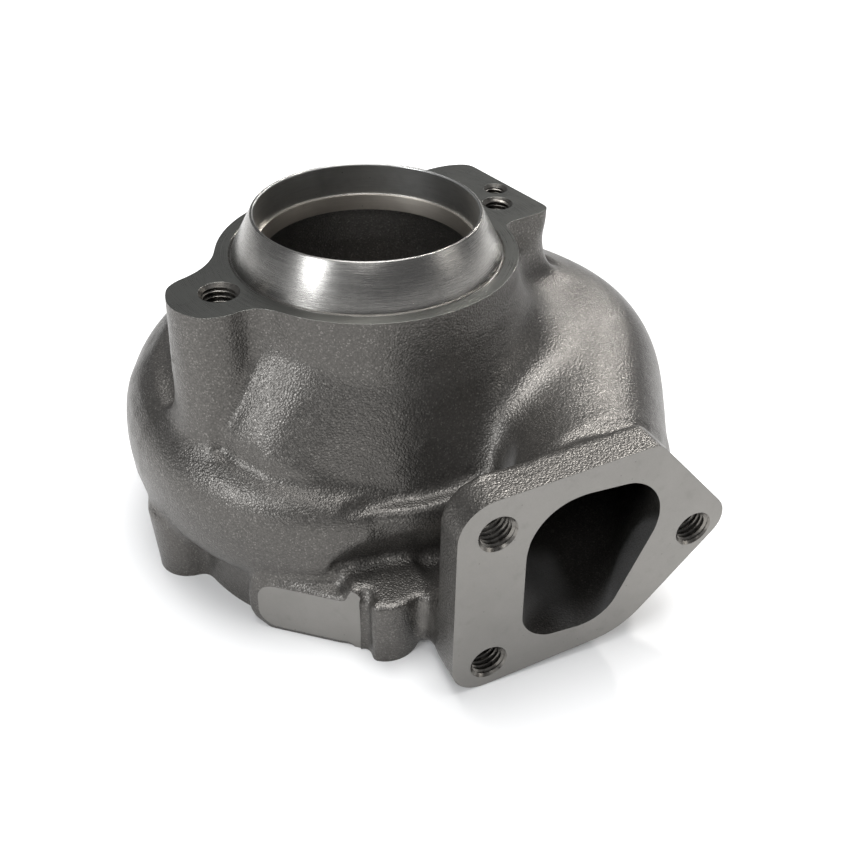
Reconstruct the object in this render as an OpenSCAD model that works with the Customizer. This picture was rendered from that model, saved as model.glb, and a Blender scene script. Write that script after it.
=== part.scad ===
// Turbocharger turbine housing: one iron casting with machined faces and bores.
// The turbine axis is Z. The origin is on that axis, in the joint face on the bearing side.
// The gas comes in at the triangular flange, which faces -Y, and leaves upwards through the collar.

/* [Outlet collar] */
// Height of the flat machined face above the joint face
face_z = 90; // [86:0.5:96]
// Height of the conical clamping rim above that face
rim_h = 11.5; // [8:0.5:14]
// Radius of the outlet bore at its mouth
outlet_r = 30.3; // [28:0.1:31]
// Width of the flat land round the mouth
rim_land = 0.8; // [0.5:0.1:1.5]
// Radius of the clamping cone at its foot
cone_foot_r = 37; // [35:0.1:38]
// Radius of the neck wall under the flat face
neck_r = 41.5; // [40:0.5:43]
// Width of the turned groove at the foot of the cone
groove_w = 0.8; // [0.4:0.1:1.2]
// Depth of the turned groove
groove_d = 0.5; // [0.3:0.1:0.8]

/* [Gas path on the axis] */
// Depth of the outlet bore below the mouth
outlet_depth = 9.2; // [7:0.1:11]
// Height of the narrower turned band below the outlet bore
band_h = 4.4; // [3:0.1:6]
// Radius of the turned band at its top
band_r = 29.7; // [27:0.1:29.8]
// Largest radius of the cast bowl below the band
bowl_r = 33; // [31:0.5:34]
// Radius of the turned bore that the wheel blows through
wheel_out_r = 23.5; // [21:0.5:25]
// Length of that bore
wheel_bore_h = 9; // [6:0.5:12]
// Radius of the wheel at its wide end, with its clearance
wheel_in_r = 30; // [28:0.5:32]
// Height of the lower side of the nozzle gap above the joint face
nozzle_z = 19.5; // [18.5:0.5:21]
// Width of the nozzle gap
nozzle_w = 9; // [7:0.5:10]
// Radius at which the nozzle gap opens into the scroll
nozzle_r = 47; // [46.5:0.1:47.5]

/* [Bearing side] */
// Radius of the joint ring
ring_r = 58; // [56:0.5:60]
// Thickness of the joint ring
ring_h = 18.5; // [16:0.5:18.5]
// Radius of the shallow recess that centres the bearing housing
pilot_r = 46; // [44:0.5:48]
// Depth of that recess
pilot_h = 4; // [3:0.5:6]
// Radius of the seat for the heat shield
shield_r = 36; // [34:0.5:38]
// Number of clamping bosses round the ring
boss_n = 5; // [3:1:5]
// Distance of the boss holes from the axis
boss_circle_r = 59.6; // [58:0.1:60]
// Angle from one boss to the next: the widest space is under the inlet duct
boss_pitch = 69; // [60:1:72]
// Outer radius of a boss
boss_r = 9; // [8:0.5:10]
// Angle of the first boss
boss_start = -108; // [-110:1:-106]
// Tapping radius of a boss hole
boss_hole_r = 3.4; // [2.5:0.1:3.6]
// Depth of a boss hole
boss_hole_depth = 8.5; // [6:0.5:9]

/* [Milled pad on the ring] */
// Distance of the pad face from the axis
pad_face = 61.3; // [60:0.1:63]
// Angle of the pad
pad_angle = -129.5; // [-132:0.5:-128]
// Length of the pad block
pad_w = 33; // [30:0.5:36]
// Height of the pad block
pad_h = 17.8; // [15:0.1:18.4]
// How far the milled face stands proud of the block
pad_proud = 0.5; // [0.3:0.1:1]
// Cast margin round the milled face
pad_margin = 1.6; // [1:0.1:3]
// Corner radius of the milled face
pad_corner = 4.5; // [2:0.5:6]
// How deep the pad block runs into the ring
pad_deep = 14; // [12:0.5:16]

/* [Scroll] */
// Distance from the axis to the inner side of the scroll
scroll_in_r = 41; // [40:0.5:42]
// Radial width of the scroll where it is largest
scroll_w = 49; // [46:0.5:50]
// Angle at which the scroll has died away
scroll_close = 275; // [270:1:280]
// Height of the scroll's middle at its small end
scroll_mid_small = 29; // [28:0.5:30]
// How much higher the middle lies at the large end
scroll_mid_rise = 8; // [7:0.5:9]
// Half the height of the scroll at its small end
scroll_half_small = 2; // [2:0.5:3]
// How much that half height grows to the large end
scroll_half_rise = 30; // [28:0.5:31]
// Thickness of the cast wall
wall = 5; // [4.5:0.1:5.5]
// Squareness of the scroll's section, where 2 is an ellipse
section_power = 2.4; // [2.2:0.1:2.8]

/* [Dome between neck and scroll] */
// Radius of the dome's edge at the inlet side
dome_r = 50; // [49:0.5:51]
// Height of the dome's edge at the inlet side
dome_z = 40; // [38:0.5:42]
// How much wider the dome is over the full scroll
dome_r_rise = 4.5; // [3:0.5:5]
// How much higher the dome's edge is over the full scroll
dome_z_rise = 18; // [16:0.5:20]

/* [Inlet flange] */
// Distance of the flange face from the axis
inlet_face = 83; // [81:0.5:85]
// Thickness of the flange
inlet_t = 10.5; // [9:0.5:12]
// Height of the upper hole
inlet_hole_top = 53.1; // [52:0.1:54]
// Height of the lower hole
inlet_hole_low = 8.6; // [8.4:0.1:9.5]
// Sideways place of the far hole
inlet_hole_far_x = 59.4; // [58:0.1:61]
// Height of the far hole
inlet_hole_far_z = 34.5; // [33:0.1:36]
// Tapping radius of the flange holes
inlet_hole_r = 4.25; // [3.4:0.05:4.5]

/* [Ear] */
// Distance of the ear hole from the axis
ear_reach = 45.1; // [44:0.1:47]
// Angle of the ear hole
ear_angle = 191.9; // [188:0.1:195]
// Radius of the ear's round end
ear_r = 11.9; // [11:0.1:13]
// How far the round end is shifted outwards from the hole
ear_shift = 2.5; // [1:0.1:3]
// Radius of the hollow in front of the ear
ear_fillet = 8; // [6:0.5:10]
// Radius of the shallower hollow behind it
ear_fillet_rear = 20; // [14:1:24]
// Tapping radius of the ear hole
ear_hole_r = 4.25; // [3.4:0.05:4.5]
// Depth of the ear hole
ear_hole_depth = 24; // [18:0.5:28]

/* [Block] */
// Angle that the block's outer side faces
block_angle = 11.4; // [9:0.1:14]
// Distance of the block's outer side from the axis
block_side = 58.7; // [57.5:0.1:60]
// Distance of its front side from the axis, across that direction
block_front = 9.3; // [9:0.1:11]
// Distance of its rear side
block_rear = 35; // [33:0.5:36]
// Tapping radius of the larger hole
block_hole_r = 3.4; // [2.5:0.1:3.6]
// Tapping radius of the smaller hole
block_pin_r = 2.5; // [2:0.1:2.8]
// Depth of both holes
block_hole_depth = 18; // [12:0.5:20]

/* [Hidden] */
$fn = 96;
iron = [0.36, 0.34, 0.33];
// Overlap where one solid runs into another, and past a face that is cut
sunk = 1;
chamfer = 1.1;
rim_top = face_z + rim_h;
cone_top_r = outlet_r + rim_land;
band_top = rim_top - outlet_depth;
band_low = band_top - band_h;
band_taper = 0.6;
nozzle_top = nozzle_z + nozzle_w;
// Angle at which the straight duct turns into the scroll, and where the gas passage ends
throat = -30;
passage_end = 250;
// Share by which the throat is narrower than the widest section
throat_pinch = 0.05;
section_points = 20;
duct_rings = 5;
dome_in_r = 37;
// Radius of the gas passage's inner side, and height of its floor where it is largest
passage_in_r = 42.5;
floor_z = 12.5;
shroud_h = 13.5;
// Step behind the heat shield's seat: how much wider than the wheel it is, and how deep
step_wide = 2;
step_deep = 5;
turn_step = 7.5;
dome_step = 10;
// How far the scroll's inner side runs into the neck, and the height of its foot in the ring
buried = 3;
foot_z = 13;
// Circles whose common hull is the port, as x, z and radius on the flange face
port_corners = [[22, 43, 14.7], [32.3, 44, 13.7], [19, 22.8, 11.7], [26, 22, 11]];
// Circles whose common hull is the flange's outline
inlet_hole_x = 0;
flange_corners = [
    [inlet_hole_x, inlet_hole_top, 10.8],
    [inlet_hole_x - 1.6, inlet_hole_low + 0.6, 9],
    [inlet_hole_far_x + 1.2, inlet_hole_far_z + 2.4, 7.8],
    [42, 62.6, 4.4],
    [31, 24, 20.7]
];
inlet_holes = [
    [inlet_hole_x, inlet_hole_top],
    [inlet_hole_x, inlet_hole_low],
    [inlet_hole_far_x, inlet_hole_far_z]
];
// The flange holes run just past its rear side, into the metal behind it where there is some
inlet_hole_depth = inlet_t + 0.5;
// Web between the flange and the joint ring: width, sideways place and heights at the flange
web_w = 20;
web_x = -10;
web_low = 8;
web_high = 24;
ear_hole = ear_reach * [cos(ear_angle), sin(ear_angle)];
ear_centre = (ear_reach + ear_shift) * [cos(ear_angle), sin(ear_angle)];
ear_foot_z = 50;
ear_draft = 1.2;
boss_draft = 1.4;
block_foot_z = 58;
block_front_corner = 3.5;
block_rear_corner = 6;
// Holes in the block, along and across the direction that its outer side faces
block_hole_at = [47.8, 2.8];
block_pin_at = [53.9, 11.4];

// Runs smoothly from 0 to 1 as t does
function ease(t) = t <= 0 ? 0 : t >= 1 ? 1 : t * t * (3 - 2 * t);
function mix(a, b, t) = a + (b - a) * t;
function signed_power(v, p) = sign(v) * pow(abs(v), p);
// Share of the scroll's full width that is left at an angle: the area falls evenly
function share(a) = a < 0 ? 1 - throat_pinch * pow(a / throat, 3) : sqrt(max(0, 1 - a / scroll_close));

// Section of the scroll at an angle: middle radius and height, then how far it reaches
// outwards, inwards, up and down. Its inner side ends inside the neck, its foot in the ring.
function skin(a) = let (
        s = share(a),
        half_w = max(scroll_w / 2 * s, 0.5),
        half_h = scroll_half_small + scroll_half_rise * s,
        mid_z = scroll_mid_small + scroll_mid_rise * s)
    [scroll_in_r + half_w, mid_z, half_w, half_w + buried, half_h, max(half_h, mid_z - foot_z)];
function passage(a) = let (
        s = share(a),
        o = skin(a),
        half_w = max(o[2] - wall, 0.8),
        top = o[1] + o[4] - wall,
        low = mix(nozzle_z + 4, floor_z, s))
    [o[0] - 3 * (1 - s), (top + low) / 2, half_w, o[0] - 3 * (1 - s) - passage_in_r,
     (top - low) / 2, (top - low) / 2];

// Points of one section, in the upright plane at an angle
function oval(sec, a) = [for (i = [0 : section_points - 1])
    let (f = 360 * i / section_points,
         p = 2 / section_power,
         r = sec[0] + (cos(f) > 0 ? sec[2] : sec[3]) * signed_power(cos(f), p),
         z = sec[1] + (sin(f) > 0 ? sec[4] : sec[5]) * signed_power(sin(f), p))
    [r * cos(a), r * sin(a), z]];

// Points of the port's outline, grown by g, in the plane of the flange at depth y
function reach(c, f, g) = c[0] * cos(f) + c[1] * sin(f) + c[2] + g;
function farthest(f, g, k = 0, best = 0) = k == len(port_corners) ? port_corners[best]
    : farthest(f, g, k + 1, reach(port_corners[k], f, g) > reach(port_corners[best], f, g) ? k : best);
function port_ring(g, y) = [for (i = [0 : section_points - 1])
    let (f = 360 * i / section_points, c = farthest(f, g))
    [c[0] + (c[2] + g) * cos(f), y, c[1] + (c[2] + g) * sin(f)]];

// Rings from the port to the throat, then round the scroll
function duct(g, y, sec) = [for (k = [0 : duct_rings - 1])
    mix(port_ring(g, y), oval(sec, throat), k / duct_rings)];
function turns(last) = [for (a = [throat : turn_step : last - 0.5 * turn_step]) a];
function skin_rings() = concat(duct(wall, -inlet_face + sunk, skin(throat)),
    [for (a = turns(scroll_close)) oval(skin(a), a)]);
function passage_rings() = concat([port_ring(0, -inlet_face - sunk)],
    duct(0, -inlet_face, passage(throat)),
    [for (a = turns(passage_end)) oval(passage(a), a)]);

// Skin over a list of rings that all have the same number of points
module loft(rings) {
    n = len(rings[0]);
    last = len(rings) - 1;
    polyhedron(
        points = [for (r = rings, p = r) p],
        faces = concat(
            [[for (i = [n - 1 : -1 : 0]) i]],
            [for (k = [0 : last - 1], i = [0 : n - 1]) let (j = (i + 1) % n)
                each [[k * n + j, (k + 1) * n + i, k * n + i],
                      [(k + 1) * n + j, (k + 1) * n + i, k * n + j]]],
            [[for (i = [0 : n - 1]) last * n + i]]),
        convexity = 6);
}

// Closed ring round the axis whose section changes with the angle
module ring_loft(sections, angles) {
    n = len(sections[0]);
    m = len(sections);
    polyhedron(
        points = [for (k = [0 : m - 1], p = sections[k])
            [p[0] * cos(angles[k]), p[0] * sin(angles[k]), p[1]]],
        faces = [for (k = [0 : m - 1], i = [0 : n - 1])
            let (j = (i + 1) % n, q = (k + 1) % m)
            each [[k * n + i, q * n + i, k * n + j], [k * n + j, q * n + i, q * n + j]]],
        convexity = 6);
}

// How full the dome is at an angle: low beside the inlet, where the scroll is small
function fullness(a) = a < 180 ? 1 : a < 275 ? ease((252 - a) / 38) : ease((a - 295) / 30);
function dome_lift(a) = a < 180 ? ease((180 - a) / 120) : a < 275 ? 0 : ease((a - 300) / 30);
function dome_section(a) = let (
        f = fullness(a),
        h = dome_lift(a),
        r = dome_r + dome_r_rise * f + 1.5 * h,
        z = dome_z + dome_z_rise * f + 8 * h,
        join_z = face_z - 19 + 7 * f - 3 * h)
    [[dome_in_r, foot_z + 2], [dome_in_r, join_z + 3], [neck_r + 1, join_z - 1.2],
     [r - 1.8, z + 2.4], [r, z - 1], [r + 0.6, z - 6], [r + 0.6, foot_z + 2]];

module dome() {
    angles = [for (a = [0 : dome_step : 359]) a];
    ring_loft([for (a = angles) dome_section(a)], angles);
}

// Neck, flat face, clamping cone and joint ring, before boring
module turned_body() {
    rotate_extrude()
        polygon([[10, 0], [ring_r, 0], [ring_r, ring_h], [neck_r, ring_h + 4], [neck_r, face_z],
            [cone_foot_r + groove_w, face_z], [cone_foot_r + groove_w / 2, face_z - groove_d],
            [cone_foot_r, face_z], [cone_top_r, rim_top], [10, rim_top]]);
}

// Outlet bore, turned band, cast bowl, wheel bore and shroud curve, with the bearing side
module turned_bore() {
    bore_low = nozzle_top + shroud_h;
    bore_top = bore_low + wheel_bore_h;
    shroud = [for (f = [0 : 15 : 90])
        [wheel_in_r - (wheel_in_r - wheel_out_r) * sin(f), bore_low - shroud_h * cos(f)]];
    rotate_extrude()
        polygon(concat(
            [[0, -sunk], [pilot_r, -sunk], [pilot_r, pilot_h], [shield_r, pilot_h],
             [shield_r, nozzle_z - step_deep], [wheel_in_r + step_wide, nozzle_z - step_deep],
             [wheel_in_r + step_wide, nozzle_z],
             [nozzle_r, nozzle_z], [nozzle_r, nozzle_top]],
            shroud,
            [[wheel_out_r, bore_top], [bowl_r - 6, bore_top + 5], [bowl_r - 1, bore_top + 15],
             [bowl_r, bore_top + 25], [bowl_r - 2, band_low - 3],
             [band_r - band_taper, band_low], [band_r, band_top], [outlet_r, band_top],
             [outlet_r, rim_top - 0.3], [outlet_r + 0.3, rim_top], [outlet_r + 0.3, rim_top + sunk],
             [0, rim_top + sunk]]));
}

// Blind tapped hole with a countersunk mouth, opening upwards at the origin
module tapped_hole(r, depth) {
    rotate_extrude($fn = 32)
        polygon([[0, -depth - 0.6 * r], [r, -depth], [r, -chamfer], [r + chamfer, 0],
            [r + chamfer, sunk], [0, sunk]]);
}

// Centre of a circle of radius r that touches two round outlines, to one side of their line
function hollow_centre(c1, r1, c2, r2, r, side) = let (
        d = norm(c2 - c1),
        along = (pow(r1 + r, 2) - pow(r2 + r, 2) + d * d) / (2 * d),
        across = side * sqrt(pow(r1 + r, 2) - along * along),
        u = (c2 - c1) / d)
    c1 + u * along + [-u[1], u[0]] * across;

// Web of metal that fills the hollows between two round outlines
module hollow_fill(c1, r1, c2, r2, front, rear, h) {
    f1 = hollow_centre(c1, r1, c2, r2, front, 1);
    f2 = hollow_centre(c1, r1, c2, r2, rear, -1);
    linear_extrude(h)
        difference() {
            polygon([c1, f2, c2, f1]);
            translate(f1)
                circle(r = front);
            translate(f2)
                circle(r = rear);
        }
}

module ear() {
    h = face_z - ear_foot_z;
    translate([ear_centre[0], ear_centre[1], ear_foot_z])
        cylinder(r1 = ear_r + ear_draft, r2 = ear_r, h = h);
    translate([0, 0, ear_foot_z])
        hollow_fill([0, 0], neck_r, ear_centre, ear_r, ear_fillet, ear_fillet_rear, h);
}

module block() {
    w = block_side - scroll_in_r + 12;
    x0 = block_side - w;
    rotate([0, 0, block_angle])
        translate([0, 0, block_foot_z])
            linear_extrude(face_z - block_foot_z)
                union() {
                    translate([x0, -block_front])
                        square([w - block_rear_corner, block_front + block_rear]);
                    translate([x0, -block_front + block_front_corner])
                        square([w, block_front + block_rear - block_front_corner - block_rear_corner]);
                    translate([block_side - block_rear_corner, block_rear - block_rear_corner])
                        circle(r = block_rear_corner);
                    translate([block_side - block_rear_corner - sunk, -block_front])
                        square([block_rear_corner - block_front_corner + sunk, block_front_corner + sunk]);
                    translate([block_side - block_front_corner, -block_front + block_front_corner])
                        circle(r = block_front_corner);
                }
}

module inlet_flange() {
    translate([0, -inlet_face + inlet_t, 0])
        rotate([90, 0, 0])
            linear_extrude(inlet_t)
                hull()
                    for (c = flange_corners)
                        translate([c[0], c[1]])
                            circle(r = c[2], $fn = 48);
    // Web from the flange to the joint ring
    translate([web_x, 0, 0])
        rotate([90, 0, 90])
            linear_extrude(web_w)
                polygon([[-inlet_face + inlet_t - sunk, web_low], [-ring_r - 2, 0.4], [-ring_r + 8, 0.4],
                    [-ring_r + 8, ring_h - 0.5], [-inlet_face + inlet_t - sunk, web_high]]);
}

module bosses() {
    for (k = [0 : boss_n - 1])
        rotate([0, 0, boss_start - boss_pitch * k])
            translate([boss_circle_r, 0, 0])
                cylinder(r1 = boss_r, r2 = boss_r + boss_draft, h = ring_h + 3);
}

module milled_pad() {
    rotate([0, 0, pad_angle])
        rotate([90, 0, 90]) {
            translate([0, pad_h / 2, pad_face - pad_proud - pad_deep])
                linear_extrude(pad_deep)
                    rounded_plate(pad_w, pad_h, pad_corner + pad_margin);
            translate([0, pad_h / 2, pad_face - pad_proud - sunk])
                linear_extrude(pad_proud + sunk)
                    rounded_plate(pad_w - 2 * pad_margin, pad_h - 2 * pad_margin, pad_corner);
        }
}

module rounded_plate(w, h, r) {
    square([w - 2 * r, h], center = true);
    square([w, h - 2 * r], center = true);
    for (x = [-1, 1], y = [-1, 1])
        translate([x * (w / 2 - r), y * (h / 2 - r)])
            circle(r = r);
}

module fixing_holes() {
    translate([ear_hole[0], ear_hole[1], face_z])
        tapped_hole(ear_hole_r, ear_hole_depth);
    rotate([0, 0, block_angle]) {
        translate([block_hole_at[0], block_hole_at[1], face_z])
            tapped_hole(block_hole_r, block_hole_depth);
        translate([block_pin_at[0], block_pin_at[1], face_z])
            tapped_hole(block_pin_r, block_hole_depth);
    }
    for (p = inlet_holes)
        translate([p[0], -inlet_face, p[1]])
            rotate([90, 0, 0])
                through_hole(inlet_hole_r, inlet_hole_depth);
    for (k = [0 : boss_n - 1])
        rotate([0, 0, boss_start - boss_pitch * k])
            translate([boss_circle_r, 0, 0])
                rotate([180, 0, 0])
                    tapped_hole(boss_hole_r, boss_hole_depth);
}

// Tapped hole right through a plate, with a countersunk mouth at the origin
module through_hole(r, depth) {
    rotate_extrude($fn = 32)
        polygon([[0, -depth], [r, -depth], [r, -chamfer], [r + chamfer, 0],
            [r + chamfer, sunk], [0, sunk]]);
}

module turbine_housing() {
    color(iron)
        difference() {
            union() {
                turned_body();
                dome();
                loft(skin_rings());
                ear();
                block();
                inlet_flange();
                bosses();
                milled_pad();
            }
            turned_bore();
            loft(passage_rings());
            fixing_holes();
        }
}

turbine_housing();
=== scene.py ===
import functools
import itertools
import math
import bpy
import bmesh
import numpy as np
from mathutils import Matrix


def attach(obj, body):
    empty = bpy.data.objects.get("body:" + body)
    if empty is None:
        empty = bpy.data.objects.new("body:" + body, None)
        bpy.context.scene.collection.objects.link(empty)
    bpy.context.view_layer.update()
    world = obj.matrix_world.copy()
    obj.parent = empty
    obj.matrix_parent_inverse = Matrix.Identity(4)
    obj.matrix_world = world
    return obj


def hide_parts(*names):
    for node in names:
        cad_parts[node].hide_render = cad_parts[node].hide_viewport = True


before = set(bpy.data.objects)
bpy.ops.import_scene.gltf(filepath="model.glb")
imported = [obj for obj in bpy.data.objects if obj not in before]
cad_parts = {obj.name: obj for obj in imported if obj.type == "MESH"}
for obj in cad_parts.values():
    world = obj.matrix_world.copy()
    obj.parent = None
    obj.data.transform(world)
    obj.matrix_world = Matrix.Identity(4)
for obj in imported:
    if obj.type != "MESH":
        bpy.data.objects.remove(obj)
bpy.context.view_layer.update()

import openvdb as vdb
from mathutils import Matrix, Vector

# Lengths are in millimetres here and become metres where a mesh is made.
MM = 0.001

# Turned faces: the collar with its cone, the outlet bore, the wheel bore and the recesses below it
FACE_Z = 90.0
RIM_Z = 101.5
CONE_FOOT_R, CONE_TOP_R = 37.0, 31.1
OUTLET_R, BAND_R, BAND_LOW_R = 30.3, 29.7, 29.1
BAND_Z, BAND_LOW_Z = 92.3, 87.9
WHEEL_R, WHEEL_WIDE_R, STEP_R = 23.5, 30.0, 32.0
WHEEL_TOP_Z, SHROUD_TOP_Z, SHROUD_LOW_Z = 51.0, 42.0, 28.5
PILOT_R, PILOT_H, SHIELD_R, SHIELD_Z = 46.0, 4.0, 36.0, 14.5

# Milled faces: the inlet flange and the pad, which is a plate on the lower ring
FLANGE_Y = -83.0
PORT_X, PORT_Z, PORT_R = 26.5, 34.0, 23.5
# Painted light in the inlet port: its skin is painted paler inside PORT_R. It fades over PORT_LIGHT_EDGE at
# the rim, and fades out deeper in from y = -60 to -52.
PORT_LIGHT_EDGE, PORT_LIGHT_Y = 2, (-52, -60)
PAD_ANGLE = math.radians(-129.5)
PAD_FACE, PAD_SHIFT = 61.3, 2.3
PAD_MARGIN_FACE, PAD_LENGTH, PAD_HEIGHT, PAD_MID_Z = 60.8, 29.8, 14.6, 8.9

# Tapped holes
EAR_ANGLE, EAR_REACH = math.radians(191.9), 45.1
BLOCK_ANGLE = math.radians(11.4)
BLOCK_HOLE, BLOCK_PIN = (47.8, 2.8), (53.9, 11.4)
BOSS_R, BOSS_START, BOSS_PITCH, BOSSES = 59.6, -108, -69, 5
COUNTERSINK = 1.1

# Sand casting: stock on machined faces, and radii of hollows and edges
STOCK, BORE_STOCK, RECESS_STOCK = 3.0, 1.5, 1.0
FILLET, EDGE = 2.0, 1.0

# The casting is worked out in voxels, with distances known up to BROAD from the skin, and then thinned out.
VOXEL, SPARE_VOXELS, BROAD = 0.8, 4, 9.0
TRIANGLES = 140000

# Ledge under the dome's front, where the scroll's small end runs out. It leans in below LEDGE_LEAN_Z.
LEDGE_ANGLES = -118, -72
LEDGE_IN_R, LEDGE_R, LEDGE_LOW_Z, LEDGE_Z, LEDGE_ROUND = 48.2, 54.6, 18.0, 40.4, 2.5
LEDGE_HALF_DEPTH, LEDGE_LEAN, LEDGE_LEAN_Z = 15, 0.35, 33

# Hollow above the ledge: its wall widens to the left by ABOVE_WIDER between two angles
ABOVE_ANGLES, ABOVE_WIDER_ANGLES = (-135, -80), (-104, -128)
ABOVE_R, ABOVE_WIDER, ABOVE_DRAFT, ABOVE_TOP_Z, ABOVE_OUT_R = 48.6, 9, 0.205, 56, 58

# Hollow below the ledge's left end: its wall comes in by BELOW_NARROWER between two angles
RING_TOP_Z = 21.5
BELOW_ANGLES, BELOW_NARROWER_ANGLES = (-125, -97), (-128, -102)
BELOW_NARROWER, BELOW_DRAFT, BELOW_TOP_Z, BELOW_OUT_R = 6, 0.42, 37, 62

# Hollow between the pad and the boss beside it: along the pad, distance from the axis, radius, height
GROOVE_SIDE, GROOVE_OUT, GROOVE_R, GROOVE_TOP_Z = 18.2, 62.2, 2.4, RING_TOP_Z + 6

# Ball of iron that fills the corner of the ledge and the neck
CORNER_AT, CORNER_R = (15.0, -45.8, 43.5), 3.0

# Regions that the pattern maker smooths. Each limit names a coordinate, where the share is 0 and where
# it is 1.
SCROLL_RIGHT = ("angle", -38, -28), ("angle", 172, 160), ("r", 53, 57)
SCROLL_LEFT = ("angle", -98, -110), ("r", 57, 60)
SCROLL_HEIGHT = (("z", 21, 26),)
BLOCK_FOOT = ("angle", -23, -15), ("angle", 45, 37), ("r", 72, 67), ("z", 46, 52)
DOME_FRONT = (("angle", -108, -98), ("angle", -36, -44), ("r", 53, 51), ("r", 38, 40),
              ("z", 43, 47), ("z", 86, 83))
DOME_FLAT = (("angle", -153, -145), ("angle", -101, -109), ("r", 37, 41), ("r", 62, 58),
             ("z", 51, 57), ("z", 84, 78))
DOME_FLAT_SHARE = 0.8
MEAN_TURN, MEAN_REACH = 5.0, 2.0

# Regions where the dome runs into the scroll with no crease
FLOW_FRONT = ("angle", -84, -68), ("angle", 14, -2), ("r", 40, 45)
FLOW_RIGHT = ("angle", -40, -30), ("angle", 160, 150), ("r", 62, 67)
FLOW_HEIGHT = ("z", 33, 41), ("z", 87, 80), ("y", FLANGE_Y + 13, FLANGE_Y + 19)
FLOW_REACH, FLOW_RAISE, HOLLOW_DEPTH = 5.0, 0.8, 0.5

CAST, TURNED, FACED, BORED, BAND, MILLED, TAPPED = range(7)


def at_angle(a, r):
    """Point at an angle and a distance from the axis."""
    return np.array([math.cos(a), math.sin(a)]) * r


def spun(x, y, angle):
    """Points turned about the axis."""
    c, s = math.cos(angle), math.sin(angle)
    return x * c - y * s, x * s + y * c


# Kinds of tapped hole: tapping radius, thread radius, pitch. Only the flange's holes go through.
M6, M8, M10 = (2.5, 3.0, 1.0), (3.4, 4.0, 1.25), (4.25, 5.0, 1.5)
UP, DOWN, FRONT = (0, 0, 1), (0, 0, -1), (0, -1, 0)
FLANGE_HOLES = [(0.0, 53.1), (0.0, 8.6), (59.4, 34.5)]
BOSS_HOLES = [at_angle(math.radians(BOSS_START + BOSS_PITCH * k), BOSS_R) for k in range(BOSSES)]
# Each hole: centre of the mouth, way out, kind, depth
HOLES = ([((*at_angle(EAR_ANGLE, EAR_REACH), FACE_Z), UP, *M10, 24),
          ((*spun(*BLOCK_HOLE, BLOCK_ANGLE), FACE_Z), UP, *M8, 18),
          ((*spun(*BLOCK_PIN, BLOCK_ANGLE), FACE_Z), UP, *M6, 18)]
         + [((x, FLANGE_Y, z), FRONT, *M10, 11) for x, z in FLANGE_HOLES]
         + [((*centre, 0), DOWN, *M8, 8.5) for centre in BOSS_HOLES])


# Pattern: the CAD solid with stock, as arrays of vertices and triangles

def node_arrays(name):
    """Welded vertices and triangles of a CAD node."""
    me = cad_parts[name].data
    v = np.zeros(len(me.vertices) * 3)
    me.vertices.foreach_get("co", v)
    me.calc_loop_triangles()
    t = np.zeros(len(me.loop_triangles) * 3, np.int32)
    me.loop_triangles.foreach_get("vertices", t)
    welded, back = np.unique(np.round(v.reshape(-1, 3) / MM, 3), axis=0, return_inverse=True)
    t = back.ravel()[t.reshape(-1, 3)]
    return welded, t[(t[:, 0] != t[:, 1]) & (t[:, 1] != t[:, 2]) & (t[:, 0] != t[:, 2])]


def shut_holes(v, pattern):
    """Draws the walls of the tapped holes in to thin threads, which the casting's fillets close."""
    mouth_margin, floor_margin, left_open = 1.4, 3, 0.002
    for mouth, way_out, bore, thread, pitch, depth in HOLES:
        offset = v - mouth
        inwards = -(offset @ way_out)
        beside = offset + np.outer(inwards, way_out)
        wall = (np.linalg.norm(beside, axis=1) < bore + mouth_margin) & (inwards < depth + floor_margin)
        pattern[wall] += beside[wall] * (left_open - 1)


def pull_turned(v, pattern):
    """Stock on the cone, the bores, the recesses below and the flat top."""
    near, bore_bottom_z, cored_r, band_rise = 0.1, 86.5, 27.5, 2.5
    r, z = np.hypot(v[:, 0], v[:, 1]), v[:, 2]

    def set_radius(which, to):
        pattern[which, :2] *= (to / r[which])[:, None]

    cone = (z > FACE_Z + near / 2) & (r > OUTLET_R + 0.5) & (r < CONE_FOOT_R + near)
    set_radius(cone, r[cone] + STOCK)
    bore = (r < OUTLET_R + 0.6) & (z > bore_bottom_z)
    set_radius(bore, cored_r)
    pattern[bore & (np.abs(z - BAND_LOW_Z) < near), 2] += band_rise
    pattern[(z > FACE_Z - 0.7) & (z < FACE_Z + near / 2) & (r > CONE_FOOT_R - 2 * near), 2] = FACE_Z + STOCK
    pattern[z > RIM_Z - 0.5, 2] += STOCK
    wheel = (r < WHEEL_WIDE_R + near) & (z > SHROUD_LOW_Z - near) & (z < WHEEL_TOP_Z + near)
    set_radius(wheel, r[wheel] - BORE_STOCK)
    pattern[wheel & (z > WHEEL_TOP_Z - near), 2] -= BORE_STOCK
    recess = (r < PILOT_R + 0.5) & (z < SHIELD_Z + 0.5)
    set_radius(recess, r[recess] - BORE_STOCK)
    pattern[recess & (z > 0.5), 2] -= RECESS_STOCK


def pull_milled(v, pattern):
    """Stock on the lower face and the flange."""
    near = 0.02
    pattern[np.abs(v[:, 2]) < near, 2] = -STOCK
    pattern[np.abs(v[:, 1] - FLANGE_Y) < near, 1] = FLANGE_Y - STOCK


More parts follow.
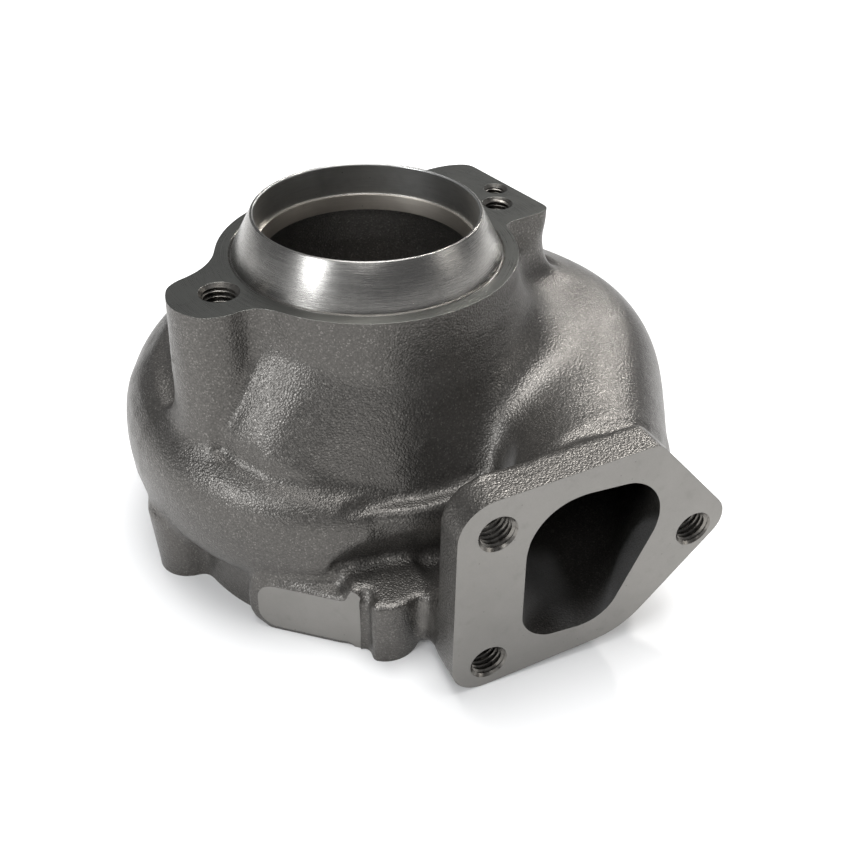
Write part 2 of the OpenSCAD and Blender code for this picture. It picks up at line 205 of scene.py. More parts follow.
def pull_pad(pattern):
    """Thickens the pad's plate, a little smaller than its milled face because a fillet adds to its foot."""
    near, smaller, thicker = 0.02, 0.6, 0.35
    way_out = at_angle(PAD_ANGLE, 1)
    across = np.array([-way_out[1], way_out[0]])
    out = pattern[:, :2] @ way_out
    side = pattern[:, :2] @ across
    height = pattern[:, 2] - PAD_MID_Z
    plate = (out > PAD_MARGIN_FACE - near) & (out < PAD_FACE + near)
    plate &= (np.abs(side) < PAD_LENGTH / 2 + 0.1) & (np.abs(height) < PAD_HEIGHT / 2 + 0.1)
    pattern[plate, :2] += across * (PAD_SHIFT - side[plate] * smaller / PAD_LENGTH)[:, None]
    pattern[plate, 2] -= height[plate] * smaller / PAD_HEIGHT
    pattern[plate & (out > PAD_FACE - near), :2] += way_out * thicker


def pull_stock(v):
    """Adds the stock that is machined off: planes move outwards, bores inwards, tapped holes close."""
    pattern = v.copy()
    shut_holes(v, pattern)
    pull_turned(v, pattern)
    pull_milled(v, pattern)
    pull_pad(pattern)
    return pattern


# Casting: the pattern as a field of distances, below 0 in the iron

def level_set(v, t, width):
    """Distances from a closed mesh, known up to a width on both sides."""
    return vdb.FloatGrid.createLevelSetFromPolygons(
        np.ascontiguousarray(v, dtype=np.float32), triangles=np.ascontiguousarray(t, dtype=np.uint32),
        transform=vdb.createLinearTransform(voxelSize=VOXEL), halfWidth=int(width / VOXEL) + SPARE_VOXELS)


def surface(grid, at):
    """Mesh of the places that are at a distance from the skin."""
    v, t, q = grid.convertToPolygons(isovalue=at)
    t = np.asarray(t, np.int64).reshape(-1, 3)
    q = np.asarray(q, np.int64)
    return np.asarray(v, float), np.concatenate([t, q[:, :3], q[:, [0, 2, 3]]])


def ramp(value, zero, one):
    """0 at one value and 1 at another, smooth between."""
    s = np.clip((value - zero) / (one - zero), 0, 1)
    return s * s * (3 - 2 * s)


def least(*fields):
    """Smallest value at each voxel: distance from any of the forms, or depth inside what they share."""
    return functools.reduce(np.minimum, fields)


def most(*fields):
    """Largest value at each voxel: distance from what the forms share, or depth inside any of them."""
    return functools.reduce(np.maximum, fields)


class Voxels:
    """Places of a field's voxels: x, y, z, distance r from the axis, and angle round it in degrees."""

    def __init__(self, corner, shape):
        self.corner = corner
        self.x, self.y, self.z = (
            ((first + np.arange(n)) * VOXEL).reshape([-1 if k == axis else 1 for k in range(3)])
            for axis, (first, n) in enumerate(zip(corner, shape)))
        self.r = np.hypot(self.x, self.y)
        self.angle = np.degrees(np.arctan2(self.y, self.x))

    def share(self, limits, whole=1):
        """Part of the whole that the soft limits leave to each voxel."""
        return math.prod((ramp(getattr(self, name), zero, one) for name, zero, one in limits), start=whole)

    def between(self, angles):
        """Depth inside a stretch of angles, as an arc at the ledge's edge."""
        return np.minimum(self.angle - angles[0], angles[1] - self.angle) * math.radians(LEDGE_R)


def ledge(at):
    """Distance from the ledge, a bar with round edges that is bent round the axis."""
    lean = at.r + LEDGE_LEAN * np.maximum(LEDGE_LEAN_Z - at.z, 0)
    beyond_r = np.abs(lean - LEDGE_R + LEDGE_HALF_DEPTH) - LEDGE_HALF_DEPTH + LEDGE_ROUND
    beyond_z = np.abs(at.z - (LEDGE_LOW_Z + LEDGE_Z) / 2) - (LEDGE_Z - LEDGE_LOW_Z) / 2 + LEDGE_ROUND
    bar = (np.hypot(np.maximum(beyond_r, 0), np.maximum(beyond_z, 0))
           + np.minimum(np.maximum(beyond_r, beyond_z), 0) - LEDGE_ROUND)
    return most(bar, -at.between(LEDGE_ANGLES), LEDGE_IN_R - at.r)


def hollow_above(at):
    """Depth inside the hollow where the dome stands back above the ledge."""
    wall = (at.r - ABOVE_R - ABOVE_WIDER * ramp(at.angle, *ABOVE_WIDER_ANGLES)
            + ABOVE_DRAFT * (at.z - LEDGE_Z))
    return least(wall, at.z - LEDGE_Z, ABOVE_TOP_Z - at.z, ABOVE_OUT_R - at.r, at.between(ABOVE_ANGLES))


def hollow_below(at):
    """Depth inside the hollow between the ledge and the lower ring."""
    wall = (at.r - LEDGE_R - BELOW_NARROWER + BELOW_NARROWER * ramp(at.angle, *BELOW_NARROWER_ANGLES)
            + BELOW_DRAFT * np.maximum(LEDGE_LEAN_Z - at.z, 0))
    return least(wall, at.z - RING_TOP_Z, BELOW_TOP_Z - at.z, BELOW_OUT_R - at.r, at.between(BELOW_ANGLES))


def groove(at):
    """Depth inside the upright round hollow beside the pad."""
    c, s = at_angle(PAD_ANGLE, 1)
    side, out = c * at.y - s * at.x, c * at.x + s * at.y
    inside = GROOVE_R - np.hypot(side - GROOVE_SIDE, np.minimum(out - GROOVE_OUT, 0))
    return least(inside, out - GROOVE_OUT + 2 * GROOVE_R, GROOVE_TOP_Z - at.z)


def corner_ball(at):
    """Distance from the ball in the corner."""
    x, y, z = CORNER_AT
    return np.sqrt((at.x - x) ** 2 + (at.y - y) ** 2 + (at.z - z) ** 2) - CORNER_R


def soften(field, sigma):
    """Gaussian mean of the field, sigma in millimetres."""
    reach = int(3 * sigma / VOXEL)
    weights = np.exp(-0.5 * (np.arange(-reach, reach + 1) * VOXEL / sigma) ** 2)
    for axis, n in enumerate(field.shape):
        wide = np.pad(field, [(reach, reach) if k == axis else (0, 0) for k in range(3)], mode="edge")
        mean = np.zeros_like(field)
        for k, weight in enumerate(weights / weights.sum()):
            shifted = tuple(slice(k, k + n) if a == axis else slice(None) for a in range(3))
            mean += np.float32(weight) * wide[shifted]
        field = mean
    return field


def turned_mean(field, at, sigma):
    """Gaussian mean of the field over small turns about the axis, sigma in degrees."""
    # Just short of the last voxel, so that there is a next one to mix with
    last_x, last_y = field.shape[0] - 1.001, field.shape[1] - 1.001
    mean = np.zeros_like(field)
    turns = np.arange(-4, 5) * sigma / 2
    weights = np.exp(-0.5 * (turns / sigma) ** 2)
    for turn, weight in zip(np.radians(turns), weights / weights.sum()):
        x, y = spun(at.x[:, :, 0], at.y[:, :, 0], turn)
        i = np.clip(x / VOXEL - at.corner[0], 0, last_x)
        j = np.clip(y / VOXEL - at.corner[1], 0, last_y)
        i0, j0 = i.astype(int), j.astype(int)
        p, q = (i - i0).astype(np.float32)[:, :, None], (j - j0).astype(np.float32)[:, :, None]
        mean += np.float32(weight) * ((field[i0, j0] * (1 - p) + field[i0 + 1, j0] * p) * (1 - q)
                                      + (field[i0, j0 + 1] * (1 - p) + field[i0 + 1, j0 + 1] * p) * q)
    return mean


def smooth_flats(field, at):
    """Takes the flats off the scroll, from the throat past the ear, and off the dome's front."""
    right = at.share(SCROLL_RIGHT) * (1 - at.share(BLOCK_FOOT))
    scroll = at.share(SCROLL_HEIGHT, np.maximum(right, at.share(SCROLL_LEFT)))
    share = most(scroll, at.share(DOME_FRONT), at.share(DOME_FLAT) * DOME_FLAT_SHARE).astype(np.float32)
    mean = soften(turned_mean(field, at, MEAN_TURN), MEAN_REACH)
    return field * (1 - share) + mean * share


def smooth_crease(field, at):
    """Lets the dome run into the scroll with no crease, and keeps what is hollow under them."""
    share = at.share(FLOW_HEIGHT, np.maximum(at.share(FLOW_FRONT), at.share(FLOW_RIGHT))).astype(np.float32)
    # Filled from above, so that the mean doesn't take in the gas passage
    filled = np.minimum.accumulate(field[:, :, ::-1], axis=2)[:, :, ::-1]
    hollow = np.where(field - filled > HOLLOW_DEPTH, field, -BROAD)
    return field * (1 - share) + np.maximum(soften(filled, FLOW_REACH) - FLOW_RAISE, hollow) * share


def pattern_maker(grid):
    """Adds the ledge in front with the hollows round it, and smooths the scroll and the dome."""
    corner, far_corner = grid.evalActiveVoxelBoundingBox()
    field = np.zeros([b - a + 1 for a, b in zip(corner, far_corner)], np.float32)
    grid.copyToArray(field, ijk=corner)
    at = Voxels(corner, field.shape)
    carved = most(field, hollow_above(at), hollow_below(at), groove(at))
    field = least(carved, ledge(at), corner_ball(at)).astype(np.float32)
    field = smooth_crease(smooth_flats(field, at), at)
    made = vdb.FloatGrid(float(grid.background))
    made.copyFromArray(field, ijk=corner)
    made.transform = grid.transform
    made.gridClass = vdb.GridClass.LEVEL_SET
    return made


def raw_casting():
    """Rounds the pattern as sand does: hollows to the fillet radius, then edges to the edge radius."""
    v, t = node_arrays("turbine_housing")
    v, t = surface(pattern_maker(level_set(pull_stock(v), t, BROAD)), FILLET)
    v, t = surface(level_set(v, t, FILLET + EDGE), -FILLET - EDGE)
    v, t = surface(level_set(v, t, EDGE), EDGE)
    return v, t[:, ::-1]


# Machining

def make_mesh(name, v, faces, finish=CAST):
    """Object with one finish, or with one for each face in turn."""
    me = bpy.data.meshes.new(name)
    n, corners = faces.shape
    me.vertices.add(len(v))
    me.vertices.foreach_set("co", (np.asarray(v, float) * MM).ravel())
    me.loops.add(n * corners)
    me.loops.foreach_set("vertex_index", faces.astype(np.int32).ravel())
    me.polygons.add(n)
    me.polygons.foreach_set("loop_start", np.arange(0, n * corners, corners, dtype=np.int32))
    me.update(calc_edges=True)
    for material in finishes:
        me.materials.append(material)
    me.polygons.foreach_set("material_index", np.resize(finish, n).astype(np.int32))
    ob = bpy.data.objects.new(name, me)
    bpy.context.scene.collection.objects.link(ob)
    return ob


def tidy_mesh(ob):
    """Welds a tool's doubled points and turns its faces outwards."""
    bm = bmesh.new()
    bm.from_mesh(ob.data)
    bmesh.ops.remove_doubles(bm, verts=bm.verts, dist=1e-7)
    bmesh.ops.recalc_face_normals(bm, faces=bm.faces)
    bm.to_mesh(ob.data)
    bm.free()
    return ob


def turning_tool(name, profile, finish, steps):
    """Solid of revolution round the axis from a closed list of radius and height.

    finish is one finish, or one for each stretch of the profile."""
    r, z = np.array(profile, float).T
    a = np.arange(steps)[:, None] * 2 * math.pi / steps
    v = np.stack([np.cos(a) * r, np.sin(a) * r, np.broadcast_to(z, (steps, len(z)))], -1)
    here = np.arange(steps * len(z)).reshape(steps, -1)
    on = np.roll(here, -1, 0)
    quads = np.stack([here, on, np.roll(on, -1, 1), np.roll(here, -1, 1)], -1).reshape(-1, 4)
    return tidy_mesh(make_mesh(name, v.reshape(-1, 3), quads, finish))


def milling_tool(name, low, high, angle=0.0):
    """Block that mills a plane, turned about the axis by an angle."""
    x, y, z = np.array(list(itertools.product(*zip(low, high))), float).T
    quads = np.array([[0, 1, 3, 2], [4, 6, 7, 5], [0, 4, 5, 1], [2, 3, 7, 6], [0, 2, 6, 4], [1, 5, 7, 3]])
    return tidy_mesh(make_mesh(name, np.stack([*spun(x, y, angle), z], -1), quads, MILLED))


def stand(ob, mouth, way_out):
    """Moves a tool whose mouth is the origin, opening up +Z, to a hole."""
    turn = Vector((0, 0, 1)).rotation_difference(Vector(way_out)).to_matrix().to_4x4()
    ob.data.transform(Matrix.Translation(Vector(mouth) * MM) @ turn)
    return ob


def drill(mouth, way_out, bore, thread, pitch, depth):
    """Drill with a countersink. Its point shows in the blind holes."""
    tip = 0.0 if way_out == FRONT else 0.6 * bore
    above, steps = 1, 48
    mouth_r = bore + COUNTERSINK
    profile = [(0, -depth - tip), (bore, -depth), (bore, -COUNTERSINK),
               (mouth_r, 0), (mouth_r, above), (0, above)]
    return stand(turning_tool("drill", profile, TAPPED, steps), mouth, way_out)


def tap(mouth, way_out, bore, thread, pitch, depth):
    """Thread as one strip that winds upwards, closed by a fan at each end."""
    steps, above, past, short_of_floor = 40, 2.0, 1.0, 1.2 * pitch
    root = bore - 0.06
    # Section of the strip: share of a pitch and radius
    phase, r = np.array([(0.0, root), (0.16, root), (0.52, thread), (0.64, thread)]).T
    m = len(r)
    low = -depth - past if way_out == FRONT else -depth + short_of_floor
    count = int((above - low) / pitch * steps)
    k = np.arange(count)[:, None]
    a = k * 2 * math.pi / steps
    strip = np.stack([np.cos(a) * r, np.sin(a) * r, low + pitch * (k / steps + phase)], -1).reshape(-1, 3)

    def at(k, j):
        return (k + steps) * m if j == m else k * m + j

    top = count - steps
    quads = np.array([[at(k, j), at(k + 1, j), at(k + 1, j + 1), at(k, j + 1)]
                      for k in range(top - 1) for j in range(m)])
    foot = [at(k, 0) for k in range(steps)] + [at(0, j) for j in range(m, 0, -1)]
    head = [at(top - 1, j) for j in range(m)] + [at(top - 1 + k, 0) for k in range(steps, 0, -1)]
    fans = [[a, b, len(strip) + end]
            for end, edge in enumerate((foot, head)) for a, b in zip(edge, edge[1:] + edge[:1])]
    v = np.concatenate([strip, [[0, 0, low - pitch], [0, 0, above + pitch]]])
    faces = np.concatenate([quads[:, :3], quads[:, [0, 2, 3]], np.array(fans)])
    return stand(tidy_mesh(make_mesh("tap", v, faces, TAPPED)), mouth, way_out)


def join(obs):
    """One tool from several that don't touch."""
    bm = bmesh.new()
    for ob in obs:
        bm.from_mesh(ob.data)
    bm.to_mesh(obs[0].data)
    bm.free()
    for ob in obs[1:]:
        bpy.data.objects.remove(ob)
    return obs[0]


def apply_changes(ob):
    me = bpy.data.meshes.new_from_object(ob.evaluated_get(bpy.context.evaluated_depsgraph_get()))
    ob.modifiers.clear()
    ob.data = me


def cut(body, tool):
    m = body.modifiers.new("cut", "BOOLEAN")
    m.operation, m.solver, m.material_mode, m.object = "DIFFERENCE", "MANIFOLD", "TRANSFER", tool
    apply_changes(body)
    bpy.data.objects.remove(tool)


def thin_out(ob, triangles):
    m = ob.modifiers.new("fewer", "DECIMATE")
    m.ratio = triangles / len(ob.data.polygons)
    apply_changes(ob)


# How far the tools reach past the casting
CLEAR, CLEAR_LOW = 120, -20
FINE_STEPS, WHEEL_STEPS = 360, 300


def collar_tool():
    """Turns the cone with a relief groove at its foot, and the flat top."""
    rim_break, rim_break_r, groove_top, groove_side, groove_floor = 0.15, 0.1, 0.3, 0.45, 0.5
    groove_r, groove_out_r = CONE_FOOT_R + 0.3, CONE_FOOT_R + 0.8
    profile = [(0, RIM_Z), (CONE_TOP_R - rim_break, RIM_Z), (CONE_TOP_R + rim_break_r, RIM_Z - rim_break),
               (CONE_FOOT_R, FACE_Z + groove_top), (CONE_FOOT_R, FACE_Z - groove_side),
               (groove_r, FACE_Z - groove_floor), (groove_out_r, FACE_Z),
               (CLEAR, FACE_Z), (CLEAR, CLEAR), (0, CLEAR)]
    return turning_tool("collar_tool", profile, [TURNED] * 6 + [FACED] * 4, FINE_STEPS)


def outlet_tool():
    """Bores the outlet, with the narrower band at its foot."""
    below, rim_break = 2, 0.3
    mouth_r = OUTLET_R + rim_break
    profile = [(0, BAND_LOW_Z - below), (BAND_LOW_R, BAND_LOW_Z - below), (BAND_LOW_R, BAND_LOW_Z),
               (BAND_R, BAND_Z), (OUTLET_R, BAND_Z), (OUTLET_R, RIM_Z - rim_break),
               (mouth_r, RIM_Z), (mouth_r, CLEAR), (0, CLEAR)]
    return turning_tool("outlet_tool", profile, [BAND] * 4 + [BORED] * 5, FINE_STEPS)


def wheel_tool():
    """Turns the pilot recess, the heat shield's step, the shroud curve and the wheel bore."""
    break_r, shield_break, step_top_z, above, steps = 0.5, 0.4, 24, 3, 12
    wide, high = WHEEL_WIDE_R - WHEEL_R, SHROUD_TOP_Z - SHROUD_LOW_Z
    shroud = [(WHEEL_WIDE_R - wide * math.sin(a), SHROUD_TOP_Z - high * math.cos(a))
              for a in (math.pi / 2 * i / steps for i in range(steps + 1))]
    recess = [(0, CLEAR_LOW), (PILOT_R + break_r, CLEAR_LOW), (PILOT_R + break_r, 0), (PILOT_R, break_r),
              (PILOT_R, PILOT_H), (SHIELD_R + shield_break, PILOT_H), (SHIELD_R, PILOT_H + shield_break),
              (SHIELD_R, SHIELD_Z), (STEP_R, SHIELD_Z), (STEP_R, step_top_z)]
    bore = [(WHEEL_R, WHEEL_TOP_Z + above), (0, WHEEL_TOP_Z + above)]
    return turning_tool("wheel_tool", recess + shroud + bore, TURNED, WHEEL_STEPS)


def milling_tools():
    """Cutters for the lower face, the flange and the pad."""
    yield milling_tool("base_tool", (-CLEAR, -CLEAR, -30), (CLEAR, CLEAR, 0))
    yield milling_tool("flange_tool", (-60, FLANGE_Y - 20, CLEAR_LOW), (110, FLANGE_Y, 110))
    left, right = PAD_SHIFT - PAD_LENGTH / 2 - 1, PAD_SHIFT + PAD_LENGTH / 2 - 0.4
    yield milling_tool("pad_tool", (PAD_FACE, left, -5), (PAD_FACE + 8, right, 22), PAD_ANGLE)


def machine(body):
    """Turns and mills the faces, then drills and taps the holes."""
    for tool in (collar_tool(), outlet_tool(), wheel_tool(), *milling_tools()):
        cut(body, tool)
    cut(body, join([drill(*hole) for hole in HOLES]))
    cut(body, join([tap(*hole) for hole in HOLES]))


def set_edges(ob):
    """Cast skin is smooth all over. Machined faces meet each other and the skin in sharp edges."""
    sharpest_smooth = math.cos(math.radians(28))
    me = ob.data
    n = len(me.polygons)
    me.polygons.foreach_set("use_smooth", np.ones(n, bool))
    finish = np.zeros(n, np.int32)
    me.polygons.foreach_get("material_index", finish)
    normal = np.zeros(n * 3, np.float32)
    me.polygons.foreach_get("normal", normal)
    normal = normal.reshape(-1, 3)
    edges = np.zeros(len(me.loops), np.int32)
    me.loops.foreach_get("edge_index", edges)
    counts = np.zeros(n, np.int32)
    me.polygons.foreach_get("loop_total", counts)
    owner = np.repeat(np.arange(n), counts)
    # Faces that share an edge follow each other once the corners are sorted by edge
    order = np.argsort(edges, kind="stable")
    edge, face = edges[order], owner[order]
    pair = np.flatnonzero(edge[1:] == edge[:-1])
    a, b = face[pair], face[pair + 1]
    bent = (normal[a] * normal[b]).sum(1) < sharpest_smooth
    sharp = np.zeros(len(me.edges), bool)
    sharp[edge[pair]] = (finish[a] != finish[b]) | (bent & (finish[a] != CAST))
    mark = me.attributes.get("sharp_edge") or me.attributes.new("sharp_edge", "BOOLEAN", "EDGE")
    mark.data.foreach_set("value", sharp)
    me.update()


# Finishes

class Wire:
    """Output of a finish's node. Sums and products of wires add their Math nodes."""

    def __init__(self, finish, socket):
        self.finish, self.socket = finish, socket

    def __add__(self, other):
        return self.finish.maths("ADD", self, other)

    def __sub__(self, other):
        return self.finish.maths("SUBTRACT", self, other)

    def __rsub__(self, other):
        return self.finish.maths("SUBTRACT", other, self)

    def __mul__(self, other):
        return self.finish.maths("MULTIPLY", self, other)

    __radd__ = __add__
    __rmul__ = __mul__

    def rise(self, zero, one):
        """0 at one value and 1 at another, smooth between."""
        return self.finish.add("MapRange", {"interpolation_type": "SMOOTHSTEP"},
                               {"Value": self, "From Min": zero, "From Max": one})


class Finish:
    """A material that is mixed from nodes. Every node comes from add()."""

    def __init__(self, name):
        self.material = bpy.data.materials.new(name)
        self.material.use_nodes = True
        self.tree = self.material.node_tree
        self.tree.nodes.clear()
        self.shader = self.add("BsdfPrincipled", out=None)
        output = self.add("OutputMaterial", out=None)
        self.tree.links.new(self.shader.outputs[0], output.inputs["Surface"])
        # Place on the housing, in millimetres
        self.place = self.vector("SCALE", self.add("TexCoord", out="Object"), 1 / MM)

    def add(self, kind, settings=None, inputs=None, out=0):
        """Output of a new node, or the node where out is None. The inputs hold values or wires."""
        node = self.tree.nodes.new("ShaderNode" + kind)
        for key, value in (settings or {}).items():
            setattr(node, key, value)
        for key, value in (inputs or {}).items():
            self.feed(node, key, value)
        return node if out is None else Wire(self, node.outputs[out])

    def feed(self, node, key, value):
        if isinstance(value, Wire):
            self.tree.links.new(value.socket, node.inputs[key])
        else:
            node.inputs[key].default_value = value

    def maths(self, operation, *values):
        return self.add("Math", {"operation": operation}, dict(enumerate(values)))

    def vector(self, operation, a, b, out=0):
        """b is a number for SCALE and a vector for the rest."""
        second = 3 if operation == "SCALE" else 1
        return self.add("VectorMath", {"operation": operation}, {0: a, second: b}, out)

    def length(self, a, b):
        """Length across two sides that stand square to each other."""
        return self.maths("SQRT", a * a + b * b)

    def parts(self):
        """The three coordinates of the place."""
        split = self.add("SeparateXYZ", None, {0: self.place}, out=None)
        return [Wire(self, part) for part in split.outputs]

    def grain(self, size, detail=2.0, roughness=0.5, at=None):
        """Noise from 0 to 1 whose lumps are about size millimetres across."""
        return self.add("TexNoise", None, {"Vector": at or self.place, "Scale": 1.0 / size,
                                           "Detail": detail, "Roughness": roughness})

    def cells(self, size, out="Distance"):
        """Distance from the middle of the cell, or the random colour of each cell."""
        return self.add("TexVoronoi", None, {"Vector": self.place, "Scale": 1.0 / size}, out)

    def ground_spot(self, centre, size):
        """Share of a ragged patch where the skin was touched with a grinder."""
        ragged, soft_rim = 9, 1.2
        away = self.vector("DISTANCE", self.place, centre, out="Value")
        return (away + (self.grain(4) - 0.5) * ragged).rise(size, size - soft_rim)

    def blend(self, share, a, b):
        """Colour a where share is 0, colour b where it is 1."""
        return self.add("Mix", {"data_type": "RGBA"}, {"Factor": share, 6: a, 7: b}, out=2)

    def bump(self, height, depth, strength=1.0, under=None):
        """Relief of a height from 0 to 1, depth in millimetres."""
        inputs = {"Height": height, "Distance": depth * MM, "Strength": strength}
        if under:
            inputs["Normal"] = under
        return self.add("Bump", None, inputs)

    def broken_edge(self, size=0.35):
        """Normal that turns over each sharp edge, as where a file has broken it, size millimetres wide."""
        return self.add("Bevel", {"samples": 4}, {"Radius": size * MM})

    def finish(self, **sockets):
        """Feeds the shader's sockets and hands over the material."""
        for key, value in sockets.items():
            self.feed(self.shader, key.replace("_", " "), value)
        return self.material


def colour(r, g, b):
    return (r, g, b, 1.0)


def cast_iron():
    """Sand cast and shot blasted: dark, grainy, with a broad sheen, and small sparks of light painted into
    its colour.
    """
    pit, pit_pale = colour(0.024, 0.023, 0.022), colour(0.038, 0.036, 0.034)
    skin, skin_pale = colour(0.060, 0.056, 0.053), colour(0.088, 0.082, 0.078)
    port_painted_light, ground_skin = colour(0.26, 0.26, 0.265), colour(0.17, 0.162, 0.15)
    painted_glint = colour(0.20, 0.19, 0.178)
    f = Finish("cast_iron")
    patch = f.grain(5, 3, 0.6)
    grit = f.cells(0.62)
    x, y, z = f.parts()
    # Painted light: the skin inside the inlet port is painted pale, as if lit, and made a little rougher
    off_port = f.length(x - PORT_X, z - PORT_Z)
    port_light_share = off_port.rise(PORT_R, PORT_R - PORT_LIGHT_EDGE) * y.rise(*PORT_LIGHT_Y)
    # Painted glints: small random cells of the skin are painted bright, standing in for sparkle of light
    painted_sparkle = f.cells(0.35, "Color").rise(0.74, 0.90)
    # All of the skin is half as worn as the spot beside the near boss that was ground
    worn = 0.5
    ground = f.maths("MAXIMUM", f.ground_spot((-9.5, -64.5, 14.0), 6.5), worn)
    pits = f.blend(patch, pit, pit_pale)
    base = f.blend(grit.rise(0.75, 0.25), pits, f.blend(f.grain(24), skin, skin_pale))
    base = f.blend(port_light_share, base, port_painted_light)
    base = f.blend(painted_sparkle, base, painted_glint)
    base = f.blend(ground * 0.8, base, ground_skin)
    waves = f.bump(f.grain(6), 0.35, 0.5)
    return f.finish(Base_Color=base, Metallic=0.8,
                    Roughness=0.31 + (patch - 0.5) * 0.14 + ground * 0.1 + port_light_share * 0.15,
                    Normal=f.bump(f.grain(0.42, 1) * 0.6 - grit * 0.9, 0.11, under=waves))


def rings(f, width, turn):
    """Lathe marks: streaks round the axis, drawn out along the turning."""
    # The radius alone would leave the wall of a bore without rings
    height_share = 1.31
    x, y, z = f.parts()
    across = (f.length(x, y) + z * height_share) * (1 / width)
    along = f.maths("ARCTAN2", y, x) * turn
    return f.grain(1.0, 3, 0.65, at=f.add("CombineXYZ", None, {0: across, 1: along}))


def turned(name, dark, pale, rough, depth):
    """Turned on a lathe: fine marks that run round the axis, a few stains and nicks."""
    f = Finish(name)
    fine, broad = rings(f, 0.10, 2.0), rings(f, 0.55, 3.0)
    stain = f.grain(9, 3, 0.6)
    nicks = f.cells(2.6).rise(0.10, 0.03) * f.grain(3.5, 1).rise(0.5, 0.62)
    stained, nicked = colour(*(0.6 * c for c in dark)), colour(0.09, 0.085, 0.08)
    base = f.blend(broad, colour(*dark), colour(*pale))
    base = f.blend(stain.rise(0.52, 0.78) * 0.35, base, stained)
    base = f.blend(nicks * 0.6, base, nicked)
    return f.finish(Base_Color=base, Metallic=1.0,
                    Roughness=rough + (fine - 0.5) * 0.22 + (stain - 0.5) * 0.10,
                    Normal=f.bump(fine + broad * 0.5, depth, under=f.broken_edge()))


def turned_iron():
    return turned("turned_iron", (0.21, 0.205, 0.195), (0.33, 0.32, 0.305), rough=0.27, depth=0.030)


def faced_iron():
    """The flat top: finer marks, duller and greener."""
    return turned("faced_iron", (0.15, 0.152, 0.141), (0.22, 0.22, 0.206), rough=0.30, depth=0.016)


def bored_iron():
    return turned("bored_iron", (0.44, 0.44, 0.43), (0.60, 0.60, 0.585), rough=0.34, depth=0.014)


def turned_band():
    return turned("turned_band", (0.42, 0.385, 0.34), (0.55, 0.51, 0.46), rough=0.42, depth=0.015)


def milled_iron():
    """Milled flat: grey, even, with faint arcs and stains."""
    grey, grey_pale = colour(0.20, 0.194, 0.182), colour(0.275, 0.266, 0.252)
    spotted, pore = colour(0.17, 0.164, 0.152), colour(0.07, 0.065, 0.06)
    f = Finish("milled_iron")
    speck = f.grain(0.45, 2, 0.6)
    stain = f.grain(16, 3, 0.6)
    spots = f.grain(3.5, 2, 0.55).rise(0.55, 0.8)
    pores = f.cells(3.3).rise(0.085, 0.03)
    cutter_centre = (-140.0, -30.0, 60.0)
    arcs = f.add("TexWave", {"wave_type": "RINGS", "rings_direction": "SPHERICAL"},
                 {"Vector": f.vector("SUBTRACT", f.place, cutter_centre), "Scale": 0.9, "Distortion": 0.6})
    base = f.blend(stain, grey, grey_pale)
    base = f.blend(spots * 0.3, base, spotted)
    base = f.blend(pores * 0.5, base, pore)
    return f.finish(Base_Color=base, Metallic=0.9,
                    Roughness=0.46 + (speck - 0.5) * 0.15 + (stain - 0.5) * 0.1,
                    Normal=f.bump(speck * 0.6 + arcs * 0.25, 0.03, under=f.broken_edge()))


def tapped_iron():
    """Thread and countersink: cut bright, with patches of dark oil."""
    bright, oily = colour(0.20, 0.19, 0.175), colour(0.10, 0.093, 0.085)
    f = Finish("tapped_iron")
    speck = f.grain(0.5, 2, 0.6)
    oil = f.grain(2.5, 2, 0.6).rise(0.45, 0.7)
    return f.finish(Base_Color=f.blend(oil, bright, oily), Metallic=1.0,
                    Roughness=0.30 + (speck - 0.5) * 0.2, Normal=f.bump(speck, 0.03))


def floor_paper():
    """Pale matt sheet, very slightly mottled."""
    f = Finish("floor_paper")
    mottle = f.blend(f.grain(60, 3), colour(0.86, 0.86, 0.86), colour(0.89, 0.89, 0.89))
    return f.finish(Base_Color=mottle, Roughness=0.9)


# In the order of CAST to TAPPED
finishes = [cast_iron(), turned_iron(), faced_iron(), bored_iron(), turned_band(), milled_iron(),
            tapped_iron()]

housing = make_mesh("housing", *raw_casting())
thin_out(housing, TRIANGLES)
machine(housing)
set_edges(housing)

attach(housing, "root")
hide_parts("turbine_housing")


# Studio, in metres

WHITE, WARM, COOL = (1, 1, 1), (1.0, 0.98, 0.95), (0.96, 0.98, 1.0)


def softbox(name, azimuth, elevation, distance, size, watts, tint=WHITE):
    """Area light that faces the housing from a direction in degrees. size is its width and height."""
    aim = Vector((0, 0, 0.05))
    a, e = math.radians(azimuth), math.radians(elevation)
    way = Vector((math.cos(a) * math.cos(e), math.sin(a) * math.cos(e), math.sin(e)))
    light = bpy.data.lights.new(name, "AREA")
    light.shape = "RECTANGLE"
    light.size, light.size_y = size
    light.energy, light.color = watts, tint
    ob = bpy.data.objects.new(name, light)
    ob.location = aim + way * distance
    ob.rotation_euler = way.to_track_quat("Z", "Y").to_euler()
    bpy.context.scene.collection.objects.link(ob)


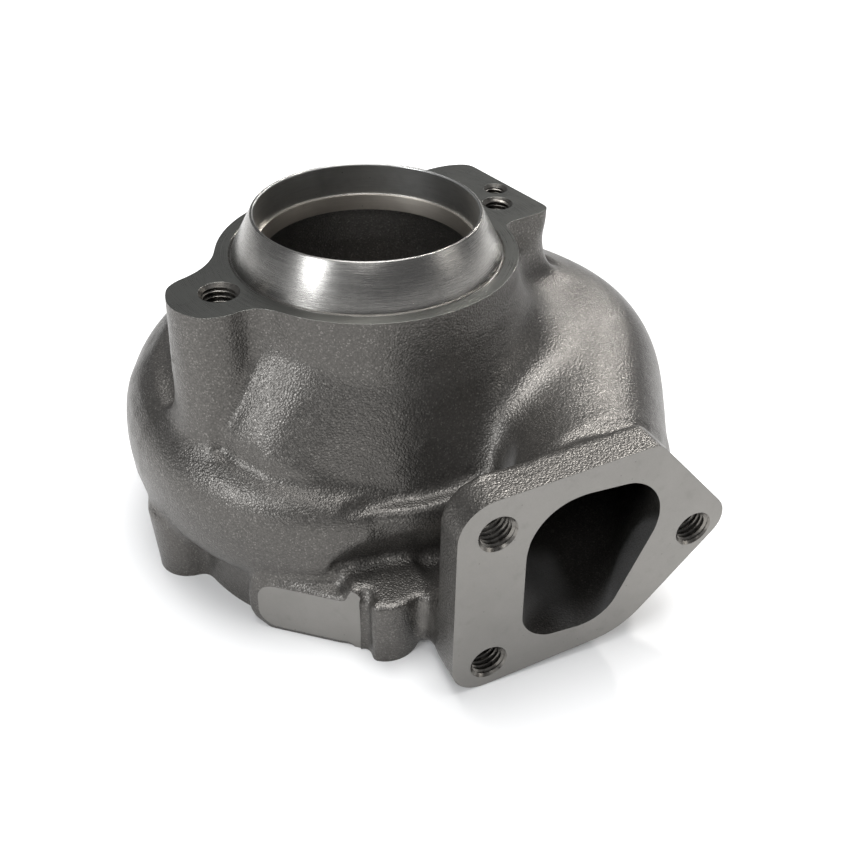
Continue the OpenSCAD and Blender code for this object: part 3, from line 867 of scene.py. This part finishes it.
def room():
    """Even pale light from all round."""
    world = bpy.data.worlds.new("room")
    world.use_nodes = True
    light = world.node_tree.nodes["Background"].inputs
    light["Color"].default_value = colour(0.62, 0.63, 0.65)
    light["Strength"].default_value = 0.34
    bpy.context.scene.world = world


def floor_sheet():
    half = 3.0
    me = bpy.data.meshes.new("floor")
    corners = [(-half, -half, 0), (half, -half, 0), (half, half, 0), (-half, half, 0)]
    me.from_pydata(corners, [], [(0, 1, 2, 3)])
    me.materials.append(floor_paper())
    ob = bpy.data.objects.new("floor", me)
    bpy.context.scene.collection.objects.link(ob)
    return ob


def photo_camera():
    """Camera at the photograph's place and angle. place is in millimetres."""
    heading, dip, roll = math.radians(24.8), math.radians(35.9), math.radians(1.21)
    place = Vector((-97.3, -250.7, 224.5))
    ahead = Vector((math.sin(heading) * math.cos(dip), math.cos(heading) * math.cos(dip), -math.sin(dip)))
    level = Vector((math.cos(heading), -math.sin(heading), 0))
    upward = level.cross(ahead)
    right = math.cos(roll) * level + math.sin(roll) * upward
    up = math.cos(roll) * upward - math.sin(roll) * level
    camera = bpy.data.objects.new("camera", bpy.data.cameras.new("camera"))
    camera.data.lens = 45.8
    camera.data.sensor_width = 36.0
    camera.matrix_world = Matrix.Translation(place * MM) @ Matrix((right, up, -ahead)).transposed().to_4x4()
    bpy.context.scene.collection.objects.link(camera)
    return camera


softbox("window_left", azimuth=-160, elevation=22, distance=1.6, size=(0.45, 0.7), watts=13, tint=COOL)
softbox("window_right", azimuth=-33, elevation=20, distance=1.8, size=(0.35, 0.6), watts=2.5, tint=WARM)
softbox("window_behind", azimuth=-112, elevation=46, distance=1.8, size=(0.6, 0.6), watts=7)
softbox("lamp_back_high", azimuth=41, elevation=53, distance=1.5, size=(0.11, 0.11), watts=7, tint=WARM)
softbox("lamp_back_low", azimuth=34, elevation=30, distance=1.6, size=(0.11, 0.11), watts=6, tint=WARM)
softbox("ceiling", azimuth=70, elevation=82, distance=2.0, size=(1.3, 1.3), watts=42)
room()
floor = floor_sheet()
bpy.context.scene.view_settings.view_transform = "Standard"
bpy.context.scene.camera = photo_camera()
